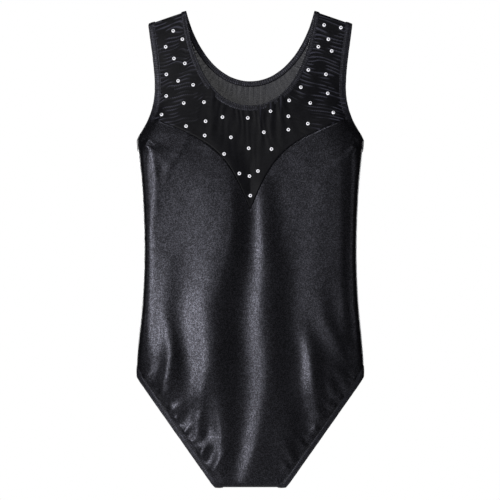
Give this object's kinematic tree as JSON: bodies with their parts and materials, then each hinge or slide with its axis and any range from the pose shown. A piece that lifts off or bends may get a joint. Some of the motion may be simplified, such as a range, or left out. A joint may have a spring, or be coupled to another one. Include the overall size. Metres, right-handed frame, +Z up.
{
  "type": "gymnastics leotard",
  "caption": "Sleeveless gymnastics leotard with a foil-finish body, a rhinestone-set mesh yoke with a sweetheart seam, a sheer back yoke and bound neck, armholes and legs.",
  "frame": {"origin": "midway between the highest points of the two strap folds, where a hanger or a person's shoulders carry the garment", "axes": "+Z up from the crotch to the shoulders, -Y out of the front, +X to the right of someone who looks at the front"},
  "size_m": [0.2746, 0.0452, 0.5739],
  "materials": {
    "foil_fabric": "black stretch knit with a fine misted silver foil, satin sheen",
    "yoke_mesh": "black power mesh, matt, finely ruched",
    "sheer_mesh": "sheer black power mesh, single layer",
    "lining": "black matt knit",
    "binding": "folded stretch knit, twin-stitched",
    "elastic": "matt swimwear elastic",
    "label": "blank satin ribbon",
    "crystal": "faceted, silver-backed"
  },
  "bodies": {
    "root": {"front_body": "foil_fabric", "back_body": "foil_fabric", "front_yoke_mesh": "yoke_mesh", "back_yoke_mesh": "sheer_mesh", "front_yoke_lining": "lining", "crotch_lining": "lining", "care_label": "label", "neck_binding": "binding", "armhole_binding_left": "binding", "armhole_binding_right": "binding", "leg_binding_left": "binding", "leg_binding_right": "binding", "neck_elastic": "elastic", "armhole_elastic_left": "elastic", "armhole_elastic_right": "elastic", "leg_elastic_left": "elastic", "leg_elastic_right": "elastic", "rhinestone_01": "crystal", "rhinestone_02": "crystal", "rhinestone_03": "crystal", "rhinestone_04": "crystal", "rhinestone_05": "crystal", "rhinestone_06": "crystal", "rhinestone_07": "crystal", "rhinestone_08": "crystal", "rhinestone_09": "crystal", "rhinestone_10": "crystal", "rhinestone_11": "crystal", "rhinestone_12": "crystal", "rhinestone_13": "crystal", "rhinestone_14": "crystal", "rhinestone_15": "crystal", "rhinestone_16": "crystal", "rhinestone_17": "crystal", "rhinestone_18": "crystal", "rhinestone_19": "crystal", "rhinestone_20": "crystal", "rhinestone_21": "crystal", "rhinestone_22": "crystal", "rhinestone_23": "crystal", "rhinestone_24": "crystal", "rhinestone_25": "crystal", "rhinestone_26": "crystal", "rhinestone_27": "crystal", "rhinestone_28": "crystal", "rhinestone_29": "crystal", "rhinestone_30": "crystal", "rhinestone_31": "crystal", "rhinestone_32": "crystal", "rhinestone_33": "crystal", "rhinestone_34": "crystal", "rhinestone_35": "crystal", "rhinestone_36": "crystal", "rhinestone_37": "crystal", "rhinestone_38": "crystal", "rhinestone_39": "crystal", "rhinestone_40": "crystal", "rhinestone_41": "crystal", "rhinestone_42": "crystal"}
  },
  "joints": []
}
